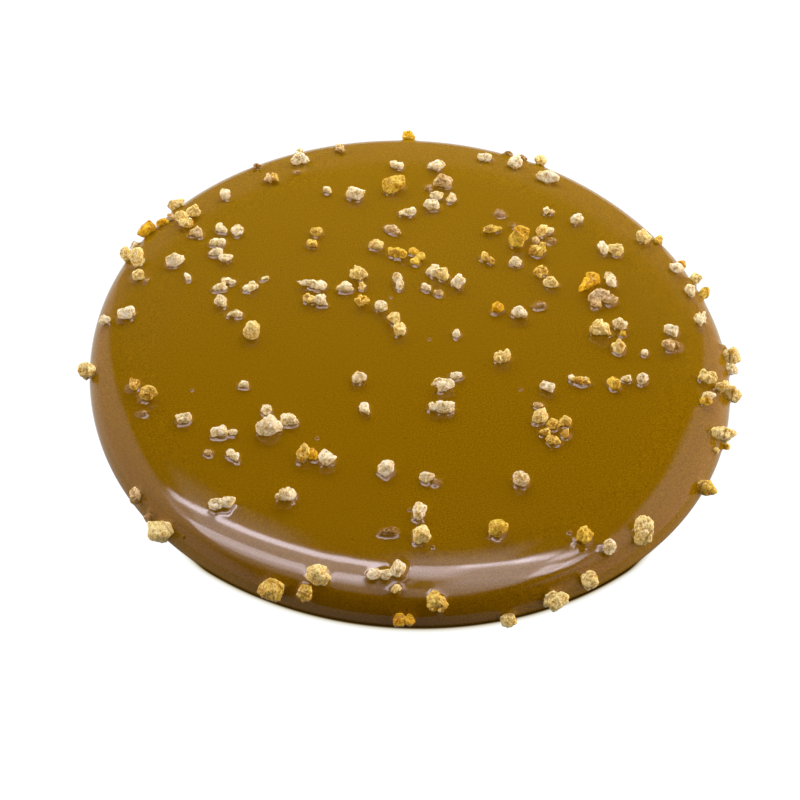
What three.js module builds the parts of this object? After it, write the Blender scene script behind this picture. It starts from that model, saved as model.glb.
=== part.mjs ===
// A poured disc of milk chocolate: one solid, set on a flat sheet, with a flat
// shiny top, a broad soft shoulder, an edge that rolls over to a widest line
// close to the sheet, and a foot that just tucks in under it. Millimetres,
// +Z up, standing on z = 0 and centred.

import * as THREE from "three";
import { mergeVertices } from "three/addons/utils/BufferGeometryUtils.js";

// ---- driving dimensions -------------------------------------------------

const DIAMETER = 80; // mean width across the widest line
const THICKNESS = 4.2; // flat top above the sheet
const SHOULDER_WIDTH = 10; // how far in from the widest line the fall begins
const SHOULDER_FALL = 2.5; // how far the shoulder's ellipse would fall over that width
const SHOULDER_SHARE = 0.78; // share of that width at which the edge starts to roll over
const FOOT_INSET = 0.3; // how far the foot tucks in under the widest line

// How a hand pour strays from a true circle: each entry swells the edge by
// `rise` mm in `count` places, the first of them towards `toward` degrees.
const SWELLS = [
  { count: 2, rise: 0.75, toward: -42 },
  { count: 3, rise: 0.11, toward: -19 },
  { count: 4, rise: 0.09, toward: -32 },
  { count: 5, rise: 0.07, toward: 0 },
];

// ---- fineness of the facets ---------------------------------------------

const SECTORS = 144;
const SHOULDER_STEPS = 12;
const ROLL_STEPS = 12;
const FOOT_STEPS = 4;
const WELD = 1e-4; // vertices nearer than this are one vertex

const CHOCOLATE = new THREE.MeshStandardMaterial({
  name: "milk_chocolate",
  color: "#8a5e0c",
  roughness: 0.16,
  metalness: 0,
});

// ---- shape --------------------------------------------------------------

const RADIUS = DIAMETER / 2;

/** The round roll of the edge, which carries on smoothly from the shoulder's ellipse. */
function edgeRoll() {
  const turn = Math.asin(SHOULDER_SHARE);
  const radius = RADIUS - SHOULDER_WIDTH * (1 - SHOULDER_SHARE);
  const height = THICKNESS - SHOULDER_FALL * (1 - Math.cos(turn));
  const tilt = Math.atan((SHOULDER_FALL / SHOULDER_WIDTH) * Math.tan(turn));
  const bend = (RADIUS - radius) / (1 - Math.sin(tilt));
  return { tilt, bend, widestHeight: height - bend * Math.cos(tilt) };
}

/** Half of the section, from the middle of the base round to the middle of the top. */
function sectionProfile() {
  const points = [new THREE.Vector2(0, 0)];
  const quarter = Math.PI / 2;
  const { tilt, bend, widestHeight } = edgeRoll();

  for (let i = 0; i < FOOT_STEPS; i += 1) {
    const turn = quarter * (i / FOOT_STEPS);
    const radius = RADIUS - FOOT_INSET * (1 - Math.sin(turn));
    points.push(new THREE.Vector2(radius, widestHeight * (1 - Math.cos(turn))));
  }
  for (let i = 0; i < ROLL_STEPS; i += 1) {
    const turn = quarter + (tilt - quarter) * (i / ROLL_STEPS);
    const radius = RADIUS - bend * (1 - Math.sin(turn));
    points.push(new THREE.Vector2(radius, widestHeight + bend * Math.cos(turn)));
  }
  for (let i = 0; i <= SHOULDER_STEPS; i += 1) {
    const turn = Math.asin(SHOULDER_SHARE) * (1 - i / SHOULDER_STEPS);
    const radius = RADIUS - SHOULDER_WIDTH * (1 - Math.sin(turn));
    const height = THICKNESS - SHOULDER_FALL * (1 - Math.cos(turn));
    points.push(new THREE.Vector2(radius, height));
  }
  points.push(new THREE.Vector2(0, THICKNESS));
  return points;
}

/** How many times its mean radius the edge reaches in one direction. */
function outlineFactor(angle) {
  let reach = RADIUS;
  for (const { count, rise, toward } of SWELLS) {
    reach += rise * Math.cos(count * (angle - THREE.MathUtils.degToRad(toward)));
  }
  return reach / RADIUS;
}

/** Stretch every point of a round body out to the uneven outline. */
function followOutline(geometry) {
  const position = geometry.getAttribute("position");
  for (let i = 0; i < position.count; i += 1) {
    const x = position.getX(i);
    const y = position.getY(i);
    const factor = outlineFactor(Math.atan2(y, x));
    position.setXY(i, x * factor, y * factor);
  }
}

/** Put the middle of the geometry's footprint on the Z axis. */
function centreFootprint(geometry) {
  geometry.computeBoundingBox();
  const middle = geometry.boundingBox.getCenter(new THREE.Vector3());
  geometry.translate(-middle.x, -middle.y, 0);
}

/** The whole disc as a closed, welded solid. */
function discGeometry() {
  const turned = new THREE.LatheGeometry(sectionProfile(), SECTORS);
  turned.rotateX(Math.PI / 2);
  turned.deleteAttribute("normal");
  turned.deleteAttribute("uv");
  const solid = mergeVertices(turned, WELD);
  followOutline(solid);
  centreFootprint(solid);
  solid.computeVertexNormals();
  return solid;
}

// ---- the object ---------------------------------------------------------

const disc = new THREE.Mesh(discGeometry(), CHOCOLATE);
disc.name = "chocolate_disc";

const tuile = new THREE.Group();
tuile.name = "chocolate_tuile";
tuile.add(disc);

export default tuile;
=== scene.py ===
"""A poured disc of milk chocolate strewn with crisp crumbs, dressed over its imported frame.

Lengths are millimetres in the frame's axes, until a mesh, a light or the camera is made.
"""

import logging
import math
import random
from dataclasses import dataclass
from enum import Enum
from typing import Any, Iterable, Sequence

import bmesh
import bpy
import numpy as np
from mathutils import Euler, Matrix, Vector, noise
from mathutils.bvhtree import BVHTree
from mathutils.geometry import delaunay_2d_cdt


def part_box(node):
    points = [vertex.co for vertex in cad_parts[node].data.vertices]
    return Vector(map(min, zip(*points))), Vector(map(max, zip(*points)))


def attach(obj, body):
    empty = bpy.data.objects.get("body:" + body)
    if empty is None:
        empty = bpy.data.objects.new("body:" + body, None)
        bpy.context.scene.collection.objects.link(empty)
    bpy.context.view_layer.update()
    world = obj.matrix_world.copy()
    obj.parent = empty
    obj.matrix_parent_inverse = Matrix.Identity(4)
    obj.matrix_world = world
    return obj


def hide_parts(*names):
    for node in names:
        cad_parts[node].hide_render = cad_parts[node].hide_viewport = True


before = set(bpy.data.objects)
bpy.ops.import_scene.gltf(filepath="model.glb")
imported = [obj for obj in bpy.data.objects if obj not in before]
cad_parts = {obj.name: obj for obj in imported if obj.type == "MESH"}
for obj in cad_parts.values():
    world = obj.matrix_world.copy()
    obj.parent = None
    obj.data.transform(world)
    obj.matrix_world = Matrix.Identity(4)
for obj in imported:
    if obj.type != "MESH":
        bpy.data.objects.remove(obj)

LOG = logging.getLogger("tuile")
MM = 0.001  # metres in a millimetre
DISC_NODE = "chocolate_disc"
BODY = "root"
SEED_STEP = 1009  # a prime that keeps the seeds of neighbouring crumbs apart
SOFTLY = {"interpolation_type": "SMOOTHSTEP"}  # for a map range that steps without a crease


# ---- shared helpers -------------------------------------------------------


def linear(colour: str) -> tuple[float, float, float, float]:
    """Turn an sRGB hex colour into linear light.

    Args:
        colour: Six hex digits after a hash sign.

    Returns:
        Red, green, blue and an alpha of one.
    """
    parts = [int(colour[i : i + 2], 16) / 255 for i in (1, 3, 5)]
    light = [p / 12.92 if p <= 0.04045 else ((p + 0.055) / 1.055) ** 2.4 for p in parts]
    return (light[0], light[1], light[2], 1.0)


def per_mm(size: float) -> float:
    """Pattern scale whose features measure `size` millimetres on a mesh in metres."""
    return 1.0 / (size * MM)


def add_node(
    tree: bpy.types.NodeTree,
    kind: str,
    inputs: dict[Any, Any] | Sequence[Any] = (),
    stops: Sequence[tuple[float, str]] = (),
    **settings: Any,
) -> bpy.types.Node:
    """Add a shader node, set it up and link it.

    Args:
        tree: The node tree that it joins.
        kind: Blender's name for the kind of node, after "ShaderNode".
        inputs: What the inputs get, in their order, or by name or index. Each is a value, an
            output socket to link, or a node whose first output is linked.
        stops: For a colour ramp, the place and colour of two or more stops, in order.
        **settings: The node's own settings.

    Returns:
        The new node.
    """
    node = tree.nodes.new("ShaderNode" + kind)
    for name, value in settings.items():
        setattr(node, name, value)
    for key, value in inputs.items() if isinstance(inputs, dict) else enumerate(inputs):
        if isinstance(value, bpy.types.Node):
            value = value.outputs[0]
        if isinstance(value, bpy.types.NodeSocket):
            tree.links.new(value, node.inputs[key])
        else:
            node.inputs[key].default_value = value
    for _ in stops[2:]:
        node.color_ramp.elements.new(0.5)
    for k, (place, colour) in enumerate(stops):
        node.color_ramp.elements[k].position = place
        node.color_ramp.elements[k].color = linear(colour)
    return node


def new_material(name: str) -> tuple[bpy.types.Material, bpy.types.NodeTree]:
    """A material with an empty node tree."""
    material = bpy.data.materials.new(name)
    material.use_nodes = True
    material.node_tree.nodes.clear()
    return material, material.node_tree


def mesh_object(name: str, points: np.ndarray, faces: Sequence[Sequence[int]]) -> bpy.types.Object:
    """Make a smooth-shaded mesh object and put it in the scene.

    Args:
        name: The name of the object and of its mesh.
        points: One row of x, y and z for each vertex.
        faces: The vertex numbers of each face.

    Returns:
        The new object.
    """
    mesh = bpy.data.meshes.new(name)
    mesh.from_pydata([tuple(p) for p in points], [], [tuple(f) for f in faces])
    mesh.polygons.foreach_set("use_smooth", [True] * len(mesh.polygons))
    mesh.update()
    made = bpy.data.objects.new(name, mesh)
    bpy.context.scene.collection.objects.link(made)
    return made


def mesh_points(mesh: bpy.types.Mesh) -> np.ndarray:
    """The mesh's vertices as rows of x, y and z."""
    flat = np.empty(len(mesh.vertices) * 3)
    mesh.vertices.foreach_get("co", flat)
    return flat.reshape(-1, 3)


def mesh_normals(mesh: bpy.types.Mesh) -> np.ndarray:
    """The mesh's vertex normals as rows of x, y and z."""
    flat = np.empty(len(mesh.vertices) * 3)
    mesh.vertex_normals.foreach_get("vector", flat)
    return flat.reshape(-1, 3)


# ---- finishes -------------------------------------------------------------


@dataclass(frozen=True)
class MilkChocolate:
    """Tempered milk chocolate, poured from the melt and left to set on a flat sheet.

    The top sets against air, so it keeps a liquid's shine: sharp, bright reflections over an
    even golden brown. Milk and sugar grains under the skin give a faint speckle, with a few
    dark specks of bean, and the skin is just uneven enough to feather a reflection's edge.
    The grains are really about 0.03 mm; they are drawn coarser, so that they show.
    """

    name: str = "milk_chocolate"
    body: str = "#825F02"
    grain_dark: str = "#715100"
    grain_light: str = "#916C06"
    bean: str = "#3E2002"
    roughness: float = 0.07
    ior: float = 1.5
    speckle_size: float = 0.2
    cloud_size: float = 14.0
    skin_size: float = 1.4
    skin_depth: float = 0.0008
    bean_spacing: float = 3.2
    bean_radius: float = 0.1
    bean_share: float = 0.7
    bean_chosen: tuple[float, float] = (0.4, 0.9)
    speckle_range: tuple[float, float] = (0.36, 0.66)
    speckle_share: tuple[float, float] = (0.55, 1.0)

    def build(self) -> bpy.types.Material:
        """The finished material."""
        material, tree = new_material(self.name)
        place = add_node(tree, "TexCoord").outputs["Object"]
        skin = add_node(
            tree,
            "TexNoise",
            {"Vector": place, "Scale": per_mm(self.skin_size), "Detail": 3.0, "Roughness": 0.55},
        )
        bump = add_node(
            tree, "Bump", {"Strength": 1.0, "Distance": self.skin_depth * MM, "Height": skin}
        )
        surface = add_node(
            tree,
            "BsdfPrincipled",
            {
                "Base Color": self.colour(tree, place),
                "Roughness": self.roughness,
                "IOR": self.ior,
                "Normal": bump,
            },
        )
        add_node(tree, "OutputMaterial", (surface,))
        return material

    def colour(self, tree: bpy.types.NodeTree, place: bpy.types.NodeSocket) -> bpy.types.NodeSocket:
        """The brown with its speckle and its specks of bean.

        Args:
            tree: The material's node tree.
            place: The socket that gives the place on the mesh.

        Returns:
            The colour's socket.
        """
        speckle = add_node(
            tree,
            "TexNoise",
            {"Vector": place, "Scale": per_mm(self.speckle_size), "Detail": 2.0, "Roughness": 0.6},
        )
        stops = tuple(zip(self.speckle_range, (self.grain_dark, self.grain_light)))
        grain = add_node(tree, "ValToRGB", (speckle,), stops)
        clouds = add_node(
            tree, "TexNoise", {"Vector": place, "Scale": per_mm(self.cloud_size), "Detail": 1.0}
        )
        share = add_node(tree, "MapRange", (clouds, 0.2, 0.8, *self.speckle_share), **SOFTLY)
        brown = add_node(tree, "Mix", {0: share, 6: linear(self.body), 7: grain}, data_type="RGBA")
        cells = add_node(
            tree,
            "TexVoronoi",
            {"Vector": place, "Scale": per_mm(self.bean_spacing)},
            voronoi_dimensions="2D",
        )
        reach = self.bean_radius / self.bean_spacing
        near = add_node(
            tree, "MapRange", (cells, 0.5 * reach, reach, self.bean_share, 0.0), **SOFTLY
        )
        pick = add_node(tree, "SeparateXYZ", (cells.outputs["Color"],))
        chosen = add_node(tree, "MapRange", (pick, *self.bean_chosen), **SOFTLY)
        speck = add_node(tree, "Math", (near, chosen), operation="MULTIPLY")
        spotted = add_node(
            tree, "Mix", {0: speck, 6: brown.outputs[2], 7: linear(self.bean)}, data_type="RGBA"
        )
        return spotted.outputs[2]


@dataclass(frozen=True)
class CrispCrumb:
    """A crumb of baked, crushed crisp biscuit.

    Breaking opens its bubbles, so the face is granular and pitted, and light sinks in and
    comes out again all round: a bright, glowing grain with toasted flecks, and hollows
    painted in the shade colour as painted shade. Where it stands in the chocolate, a brown film
    has crept a little way up it, which also stands for painted shade at its foot.
    """

    name: str
    light: str
    middle: str
    shade: str
    # the chocolate film's brown, which also paints shade at the crumb's foot
    film_and_shade: str = "#86600C"
    roughness: float = 0.33
    ior: float = 1.45
    glow: float = 0.8
    glow_reach: float = 0.8
    glow_spread: tuple[float, float, float] = (1.0, 0.92, 0.65)
    tint_range: tuple[float, float, float] = (0.4, 0.47, 0.58)
    tint_size: float = 1.8
    grain_size: float = 0.34
    fleck_size: float = 0.17
    grain_depth: float = 0.05

    def build(self) -> bpy.types.Material:
        """The finished material, which reads the painted shade in the mesh's pits, and its chocolate film,
        which also paints shade at the crumb's foot.
        """
        material, tree = new_material(self.name)
        place = add_node(tree, "TexCoord").outputs["Object"]
        tint, grain, fleck = (
            add_node(
                tree,
                "TexNoise",
                {"Vector": place, "Scale": per_mm(size), "Detail": 1.0, "Roughness": 0.6},
            )
            for size in (self.tint_size, self.grain_size, self.fleck_size)
        )
        tinted = add_node(tree, "Math", (tint, grain), operation="ADD")
        flecked = add_node(tree, "Math", (tinted, fleck), operation="ADD")
        mixed = add_node(tree, "Math", (flecked, 1 / 3), operation="MULTIPLY")
        stops = tuple(zip(self.tint_range, (self.shade, self.middle, self.light)))
        colour = add_node(tree, "ValToRGB", (mixed,), stops).outputs["Color"]
        # the pits get the shade colour as painted shade; the brown film is chocolate, and paints shade at
        # the foot too
        for layer, over in (("pit_shade", self.shade), ("film_and_shade", self.film_and_shade)):
            share = add_node(tree, "Attribute", attribute_name=layer).outputs["Fac"]
            laid = add_node(tree, "Mix", {0: share, 6: colour, 7: linear(over)}, data_type="RGBA")
            colour = laid.outputs[2]
        bump = add_node(
            tree, "Bump", {"Strength": 1.0, "Distance": self.grain_depth * MM, "Height": grain}
        )
        surface = add_node(
            tree,
            "BsdfPrincipled",
            {
                "Base Color": colour,
                "Roughness": self.roughness,
                "IOR": self.ior,
                "Subsurface Weight": self.glow,
                "Subsurface Radius": self.glow_spread,
                "Subsurface Scale": self.glow_reach * MM,
                "Normal": bump,
            },
        )
        add_node(tree, "OutputMaterial", (surface,))
        return material


FRONT_SHADE = (-32.0, -26.5)  # between these, along, the painted shade at the foot fades out
WIDER_SHADE = (4.0, 22.0, 0.06)  # between the first two, across, it widens by the third


def clear_of_disc(tree: bpy.types.NodeTree) -> bpy.types.Node:
    """How far the floor runs clear of the disc, in millimetres of the painted shade at the front.

    The shade is painted into the floor's glow. It fades out beside and behind the disc, where
    the side lamps reach under the disc's edge. Towards the right of the front it is a little wider.

    Args:
        tree: The floor's node tree.

    Returns:
        The node that gives the distance.
    """
    place = add_node(tree, "TexCoord").outputs["Object"]
    across, along, _ = add_node(tree, "SeparateXYZ", (place,)).outputs
    clear = add_node(tree, "Attribute", attribute_name="clear").outputs["Fac"]
    beside = add_node(tree, "MapRange", (along, *(MM * end for end in FRONT_SHADE)), **SOFTLY)
    start, end, more = WIDER_SHADE
    wider = add_node(tree, "MapRange", (across, start * MM, end * MM, 0.0, -more), **SOFTLY)
    in_front = add_node(tree, "Math", (clear, beside), operation="ADD")
    return add_node(tree, "Math", (in_front, wider), operation="ADD")


@dataclass(frozen=True)
class OpalAcrylic:
    """Sheet of opal acrylic lit from below, so that it shows as a clean white floor.

    Only a thin line against the disc's foot is darker: a painted shade, warm as if the chocolate
    warmed it.
    """

    name: str = "opal_acrylic"
    glow: float = 1.06
    reach: float = 0.85
    # painted shade at the disc's foot, from the contact outward
    shade: tuple[tuple[float, str], ...] = (
        (0.0, "#2C1C06"),
        (0.1, "#665430"),
        (0.22, "#B4AA92"),
        (0.42, "#E2DED2"),
        (0.72, "#F6F5F0"),
        (1.0, "#FFFFFF"),
    )

    def build(self) -> bpy.types.Material:
        """The finished material, which reads how far the floor runs clear of the disc."""
        material, tree = new_material(self.name)
        share = add_node(tree, "Math", (clear_of_disc(tree), 1 / self.reach), operation="MULTIPLY")
        # the ramp paints the shade along the disc's foot into the glow
        ramp = add_node(tree, "ValToRGB", (share,), self.shade)
        glow = add_node(tree, "Emission", (ramp, self.glow))
        add_node(tree, "OutputMaterial", (glow,))
        return material


@dataclass(frozen=True)
class ShadedAcrylic:
    """The same sheet as the chocolate's gloss mirrors it: a pale glow, with painted shade by the disc.

    `near` is where the painted shade at the disc's foot ends and how much is left in it. `front`
    is the same for the painted, dimmer front of the floor, with the level behind it.
    """

    name: str = "opal_acrylic_in_shade"
    near: tuple[float, float, float] = (0.15, 0.8, 0.02)
    front: tuple[float, float, float, float] = (-30.0, 0.0, 0.32, 0.95)

    def build(self) -> bpy.types.Material:
        """The finished material, which reads how far the floor runs clear of the disc."""
        material, tree = new_material(self.name)
        place = add_node(tree, "TexCoord").outputs["Object"]
        along = add_node(tree, "SeparateXYZ", (place,)).outputs["Y"]
        # the glow is painted dark by the disc's foot, as shade
        near = add_node(tree, "MapRange", (clear_of_disc(tree), *self.near, 1.0), **SOFTLY)
        start, end, dim, pale = self.front
        # and painted dimmer towards the front
        level = add_node(tree, "MapRange", (along, start * MM, end * MM, dim, pale), **SOFTLY)
        strength = add_node(tree, "Math", (near, level), operation="MULTIPLY")
        glow = add_node(tree, "Emission", {"Strength": strength})
        add_node(tree, "OutputMaterial", (glow,))
        return material


# ---- the pour's shape -----------------------------------------------------


@dataclass(frozen=True)
class Swell:
    """One way in which a hand pour strays from a true circle.

    `count` places stand out by `rise` millimetres, the first of them `toward` degrees.
    """

    count: int
    rise: float
    toward: float


SWELLS = (
    Swell(2, 0.75, -42),
    Swell(3, 0.11, -19),
    Swell(4, 0.09, -32),
    Swell(5, 0.07, 0),
)


@dataclass(frozen=True)
class PourSection:
    """The disc's half section, swept round an uneven outline.

    From the middle of the top it runs flat and falls over a soft shoulder, which is part of
    an ellipse. The edge then rolls over in a small round to the widest line, just above the
    sheet, and tucks in under it to the foot.
    """

    radius: float
    thickness: float
    middle: tuple[float, float]
    shoulder_width: float = 10.0
    shoulder_fall: float = 2.5
    shoulder_share: float = 0.78
    foot_inset: float = 0.3
    arc_steps: int = 160
    fit_steps: int = 1440
    rim_seat: float = 0.35

    @staticmethod
    def stray(angle: np.ndarray | float) -> np.ndarray | float:
        """How far the edge stands outside the mean circle in one direction."""
        return sum(s.rise * np.cos(s.count * (angle - math.radians(s.toward))) for s in SWELLS)

    @classmethod
    def fitted_to(cls, low: Vector, high: Vector) -> "PourSection":
        """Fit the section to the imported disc.

        Args:
            low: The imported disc's lowest corner, in metres.
            high: Its highest corner.

        Returns:
            A section whose outline and thickness fill that box.
        """
        width = (high.x - low.x) / MM
        angle = np.linspace(0, 2 * math.pi, cls.fit_steps + 1)
        reach = width / 2 + cls.stray(angle)
        across = reach * np.cos(angle)
        along = reach * np.sin(angle)
        return cls(
            radius=width - (across.max() - across.min()) / 2,
            thickness=(high.z - low.z) / MM,
            middle=(-(across.max() + across.min()) / 2, -(along.max() + along.min()) / 2),
        )

    def outline(self, offset: float, steps: int) -> np.ndarray:
        """A line that follows the disc's outline on the sheet.

        Args:
            offset: How far outside the widest line it runs.
            steps: How many points it has.

        Returns:
            Rows of x and y.
        """
        angle = np.linspace(0, 2 * math.pi, steps + 1)[:-1]
        reach = self.radius + self.stray(angle) + offset
        return np.column_stack(
            [reach * np.cos(angle) + self.middle[0], reach * np.sin(angle) + self.middle[1]]
        )

    def edge_roll(self) -> tuple[float, float, float]:
        """The round that takes the shoulder over to the widest line.

        Returns:
            The slope where the two meet, the round's radius, and the widest line's height.
        """
        turn = math.asin(self.shoulder_share)
        left = self.shoulder_width * (1 - self.shoulder_share)
        height = self.thickness - self.shoulder_fall * (1 - math.cos(turn))
        tilt = math.atan(self.shoulder_fall / self.shoulder_width * math.tan(turn))
        bend = left / (1 - math.sin(tilt))
        return tilt, bend, height - bend * math.cos(tilt)

    def table(self) -> np.ndarray:
        """The section from the middle of the top to the middle of the base.

        Returns:
            Rows of way along the section, radius, height, outward and upward normal.
        """
        tilt, bend, widest = self.edge_roll()
        quarter = math.pi / 2
        # for each arc of an ellipse: its middle's radius and height, its half width and half
        # height, and the turn at which it starts and ends, from straight up
        arcs = (
            (
                self.radius - self.shoulder_width,
                self.thickness - self.shoulder_fall,
                self.shoulder_width,
                self.shoulder_fall,
                0.0,
                math.asin(self.shoulder_share),
            ),
            (self.radius - bend, widest, bend, bend, tilt, quarter),
            (self.radius - self.foot_inset, widest, self.foot_inset, widest, quarter, 2 * quarter),
        )
        parts = [np.array([[0.0, self.thickness, 0.0, 1.0]])]
        for k, (middle, level, wide, high, start, end) in enumerate(arcs):
            turn = np.linspace(start, end, self.arc_steps)
            sine, cosine = np.sin(turn), np.cos(turn)
            arc = [middle + wide * sine, level + high * cosine, high * sine, wide * cosine]
            first = 0 if k == 0 else 1  # an arc leaves out the point where the last one ended
            parts.append(np.column_stack(arc)[first:])
        parts.append(np.array([[0.0, 0.0, 0.0, -1.0]]))
        rows = np.concatenate(parts)
        rows[:, 2:] /= np.linalg.norm(rows[:, 2:], axis=1)[:, None]
        steps = np.hypot(np.diff(rows[:, 0]), np.diff(rows[:, 1]))
        way = np.concatenate([[0.0], np.cumsum(steps)])
        return np.column_stack([way, rows])

    def upper_table(self) -> np.ndarray:
        """The rows of the table down to the widest line."""
        return self.table()[: 2 * self.arc_steps]

    def place(self, way: np.ndarray, angle: np.ndarray) -> tuple[np.ndarray, np.ndarray]:
        """Points and normals of the surface.

        Args:
            way: Distance of each point along the section, from the middle of the top.
            angle: Direction of each point from the middle, in radians.

        Returns:
            Rows of x, y and z for the points, and for their normals.
        """
        rows = self.table()
        radius, height, outward, upward = (np.interp(way, rows[:, 0], rows[:, k]) for k in range(1, 5))
        radius = radius * (1 + self.stray(angle) / self.radius)
        cosine, sine = np.cos(angle), np.sin(angle)
        points = np.column_stack(
            [radius * cosine + self.middle[0], radius * sine + self.middle[1], height]
        )
        normals = np.column_stack([outward * cosine, outward * sine, upward])
        return points, normals / np.linalg.norm(normals, axis=1)[:, None]

    def clearance(self, points: np.ndarray) -> np.ndarray:
        """How far points stand off the upper surface, along its normal."""
        flat = points[:, :2] - np.array(self.middle)
        angle = np.arctan2(flat[:, 1], flat[:, 0])
        rows = self.upper_table()
        radius = np.hypot(flat[:, 0], flat[:, 1]) / (1 + self.stray(angle) / self.radius)
        way = np.interp(np.minimum(radius, self.radius), rows[:, 1], rows[:, 0])
        under, normals = self.place(way, angle)
        return ((points - under) * normals).sum(axis=1)

    def seat(self, across: float, along: float) -> tuple[Vector, Vector, float]:
        """The upper surface under one place in plan; a place past the rim sits low on its side.

        Args:
            across: The place's x from the middle of the mean circle.
            along: Its y.

        Returns:
            The point, its normal, and its way along the section.
        """
        angle = math.atan2(along, across)
        rows = self.upper_table()
        radius = math.hypot(across, along) / (1 + self.stray(angle) / self.radius)
        edge = self.radius - self.rim_seat
        if radius > edge:
            radius = self.radius - self.rim_seat * math.exp((edge - radius) / self.rim_seat)
        way = float(np.interp(radius, rows[:, 1], rows[:, 0]))
        points, normals = self.place(np.array([way]), np.array([angle]))
        return Vector(points[0]), Vector(normals[0]), way


# ---- the crumbs -----------------------------------------------------------


class Form(Enum):
    """How a crumb broke."""

    LUMP = "one blunt piece"
    TWIN = "two pieces baked together"
    KNOT = "a cluster of beads"
    EGG = "a smooth rounded piece"
    STICK = "a long piece"
    FLAKE = "a thin wedge"
    RING = "a bubble broken open"


@dataclass(frozen=True)
class Crumb:
    """One crumb: its place in plan from the middle of the mean circle, size, turn and form.

    `half_height` is a share of the smaller of its length and width.
    """

    across: float
    along: float
    length: float
    width: float
    turn: float = 0.0
    form: Form = Form.LUMP
    half_height: float = 0.58

    def chance(self) -> random.Random:
        """This crumb's own seeded chance."""
        return random.Random(round(self.across * 10) * SEED_STEP + round(self.along * 10))

    def halves(self) -> tuple[float, float, float]:
        """Half the crumb's length, width and height."""
        return self.length / 2, self.width / 2, self.half_height * min(self.length, self.width)

    def lobes(self, chance: random.Random) -> list[tuple[Vector, Vector]]:
        """The rounded pieces that the crumb is made of.

        Args:
            chance: The crumb's own seeded chance.

        Returns:
            For each piece its middle and its three half sizes, in the crumb's own frame.
        """
        a, b, c = self.halves()
        side = chance.choice((-1, 1))
        if self.form is Form.EGG:
            return [(Vector((0, 0, 0)), Vector((a, b, c * 1.05)))]
        if self.form is Form.TWIN:
            return [
                (Vector((-0.46 * a, 0, 0)), Vector((0.56 * a, 0.96 * b, c))),
                (Vector((0.48 * a, 0.1 * side * b, -0.05 * c)), Vector((0.54 * a, 0.84 * b, 0.9 * c))),
            ]
        if self.form is Form.STICK:
            return [
                (Vector((0.62 * k * a, 0, 0.1 * k * c)), Vector((0.46 * a, (0.9 + 0.12 * k) * b, c)))
                for k in (-1, 0, 1)
            ]
        if self.form is Form.FLAKE:
            return [
                (Vector((-0.55 * a, 0, 0)), Vector((0.5 * a, 0.34 * b, 0.5 * c))),
                (Vector((0.05 * a, 0, 0)), Vector((0.5 * a, 0.6 * b, 0.7 * c))),
                (Vector((0.55 * a, 0, 0.1 * c)), Vector((0.42 * a, 0.96 * b, 0.9 * c))),
            ]
        if self.form is Form.RING:
            return self.round_lobes(chance, 6, 0.66, 0.36, 0.75)
        if self.form is Form.KNOT:
            heart = (Vector((0, 0, -0.15 * c)), Vector((0.55 * a, 0.55 * b, 0.8 * c)))
            return [heart, *self.round_lobes(chance, 5, 0.5, 0.46, 0.85)]
        lean = Vector((0.4 * a * side, 0.3 * b * chance.choice((-1, 1)), -0.25 * c))
        return [
            (Vector((0, 0, 0)), Vector((0.98 * a, 1.0 * b, c))),
            (lean, Vector((0.66 * a, 0.72 * b, 0.72 * c))),
        ]

    def round_lobes(
        self, chance: random.Random, count: int, spread: float, size: float, height: float
    ) -> list[tuple[Vector, Vector]]:
        """Beads set round the crumb's middle.

        Args:
            chance: The crumb's own seeded chance.
            count: How many beads.
            spread: Their distance out, as a share of the half size.
            size: Their half size, as a share of the crumb's.
            height: Their half height, as a share of the crumb's.

        Returns:
            For each bead its middle and its three half sizes.
        """
        a, b, c = self.halves()
        first = chance.uniform(0, 2 * math.pi)
        beads = []
        for k in range(count):
            angle = first + 2 * math.pi * (k + chance.uniform(-0.25, 0.25)) / count
            grown = size * chance.uniform(0.8, 1.2)
            middle = Vector((spread * a * math.cos(angle), spread * b * math.sin(angle), 0))
            middle.z = chance.uniform(-0.25, 0.3) * c
            beads.append((middle, Vector((grown * a, grown * b, height * grown / size * c))))
        return beads


def crumbs_from(*rows: tuple[Any, ...]) -> tuple[Crumb, ...]:
    """The crumbs of these rows: across, along, length, width, and some with turn and form."""
    return tuple(Crumb(*row) for row in rows)


@dataclass(frozen=True)
class CrumbKind:
    """One colour of crumb: its piece's name, its finish, its crumbs and how rough they are.

    `lift` is how far a crumb's middle stands off the chocolate, as a share of its height.
    """

    name: str
    finish: CrispCrumb
    crumbs: tuple[Crumb, ...]
    lift: float = 0.38
    knobs: float = 0.2
    grain: float = 0.09
    pits: float = 0.12
    facets: int = 12


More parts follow.
